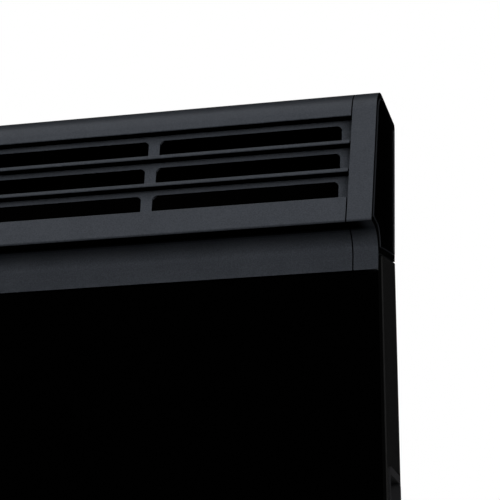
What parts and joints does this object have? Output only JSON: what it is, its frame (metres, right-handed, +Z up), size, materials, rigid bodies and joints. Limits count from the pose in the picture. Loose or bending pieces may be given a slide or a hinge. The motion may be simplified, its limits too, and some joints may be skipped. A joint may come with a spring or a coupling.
{
  "type": "convector heater",
  "caption": "Free-standing panel convector heater: slanted louvred outlet head with end caps over a black glass front, side control pocket, feet and rear keyholes for a wall.",
  "frame": {"origin": "on the floor under the middle of the heater, midway between the feet's ends", "axes": "+X along the width towards the controls, -Y out of the glass front, +Z up"},
  "size_m": [0.654, 0.24, 0.463],
  "materials": {
    "anthracite_coat": "satin anthracite powder coat",
    "black_trim": "fine matt black",
    "black_glass": "polished black glass",
    "black_sheet": "satin black paint",
    "rear_sheet": "dark grey powder coat",
    "plated_screw": "zinc plated",
    "bond_pad": "foam",
    "element_alloy": "extruded",
    "bright_sheet": "galvanised",
    "rod_steel": "drawn",
    "brass": "bright",
    "ceramic": "unglazed",
    "dark_moulding": "fine texture",
    "knob_plastic": "satin",
    "lamp_lens": "clear amber",
    "white_plastic": "moulded",
    "wire_cover": "smooth",
    "foot_coat": "satin black powder coat",
    "pad_rubber": "matt"
  },
  "bodies": {
    "cabinet": {"outlet_grille": "anthracite_coat", "end_cap_left": "anthracite_coat", "end_cap_right": "anthracite_coat", "end_plate_left": "black_trim", "end_plate_right": "black_trim", "glass_panel": "black_glass", "front_tray": "black_sheet", "side_panel_left": "black_sheet", "side_panel_right": "black_sheet", "rear_panel": "rear_sheet", "bottom_panel": "rear_sheet", "cap_screws": "plated_screw", "side_panel_screws": "plated_screw", "rear_screws": "plated_screw", "grille_screws": "plated_screw", "foot_screws": "plated_screw", "foot_nuts": "plated_screw", "thermostat_nut": "plated_screw", "earth_stud": "plated_screw", "glass_pads": "bond_pad", "heating_element": "element_alloy", "heat_shield": "bright_sheet", "element_bracket_left": "bright_sheet", "element_bracket_right": "bright_sheet", "heater_rod": "rod_steel", "terminal_pins": "brass", "sensor_tube": "brass", "bush_left": "ceramic", "bush_right": "ceramic", "control_fascia": "dark_moulding", "thermostat_body": "dark_moulding", "switch_housing_upper": "dark_moulding", "switch_housing_lower": "dark_moulding", "thermal_cutout": "dark_moulding", "tilt_switch": "dark_moulding", "cable_gland": "dark_moulding", "gland_nut": "dark_moulding", "pilot_lamp": "lamp_lens", "terminal_block": "white_plastic", "wires": "wire_cover", "foot_left": "foot_coat", "foot_right": "foot_coat", "foot_pads": "pad_rubber"},
    "thermostat_dial": {"thermostat_spindle": "rod_steel", "thermostat_knob": "knob_plastic"},
    "upper_rocker": {"rocker_upper": "knob_plastic"},
    "lower_rocker": {"rocker_lower": "knob_plastic"}
  },
  "joints": [
    {"name": "knob_turn", "type": "hinge", "parent": "cabinet", "child": "thermostat_dial", "pos_m": [0.3154, 0.01, 0.238], "axis": [-1, 0, 0], "range_deg": [0, 270]},
    {"name": "upper_rocker_press", "type": "hinge", "parent": "cabinet", "child": "upper_rocker", "pos_m": [0.3112, 0.01, 0.186], "axis": [0, 1, 0], "range_deg": [0, 20]},
    {"name": "lower_rocker_press", "type": "hinge", "parent": "cabinet", "child": "lower_rocker", "pos_m": [0.3112, 0.01, 0.156], "axis": [0, 1, 0], "range_deg": [0, 20]}
  ]
}
